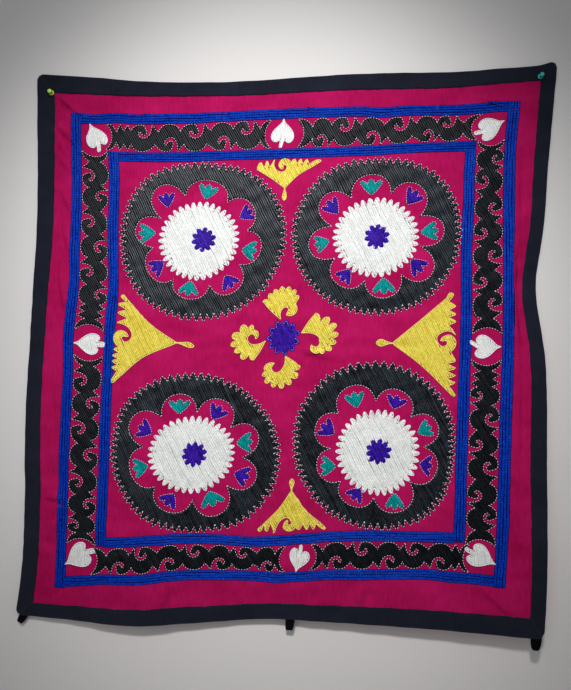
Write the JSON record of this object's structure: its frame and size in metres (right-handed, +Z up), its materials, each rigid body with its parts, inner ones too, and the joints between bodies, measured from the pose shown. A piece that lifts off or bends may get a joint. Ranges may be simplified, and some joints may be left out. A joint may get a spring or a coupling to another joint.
{
  "type": "suzani embroidered textile with push pins",
  "caption": "Square embroidered cotton wall hanging with a folded dark border and hanging loops, held up at its top corners by push pins.",
  "frame": {"origin": "on the wall's face behind the middle of the cloth's top edge", "axes": "+Z up along the hanging cloth, +X to the viewer's right, +Y into the wall; the embroidered face looks along -Y"},
  "size_m": [1.0875, 0.0538, 1.1416],
  "materials": {
    "magenta_cotton": "plain woven magenta cotton, covered with dense laid and chain stitch embroidery",
    "dark_cotton": "plain woven blue-black cotton, folded over the edge and stitched",
    "dark_ribbon": "folded blue-black cotton ribbon",
    "yellow_green_plastic": "glossy yellow-green plastic",
    "teal_plastic": "glossy teal plastic",
    "needle_steel": "bright drawn steel wire"
  },
  "bodies": {
    "root": {"ground_panel": "magenta_cotton", "binding_top": "dark_cotton", "binding_bottom": "dark_cotton", "binding_left": "dark_cotton", "binding_right": "dark_cotton", "loop_left": "dark_ribbon", "loop_centre": "dark_ribbon", "loop_right": "dark_ribbon", "left_pin_head": "yellow_green_plastic", "left_pin_needle": "needle_steel", "right_pin_head": "teal_plastic", "right_pin_needle": "needle_steel"}
  },
  "joints": []
}
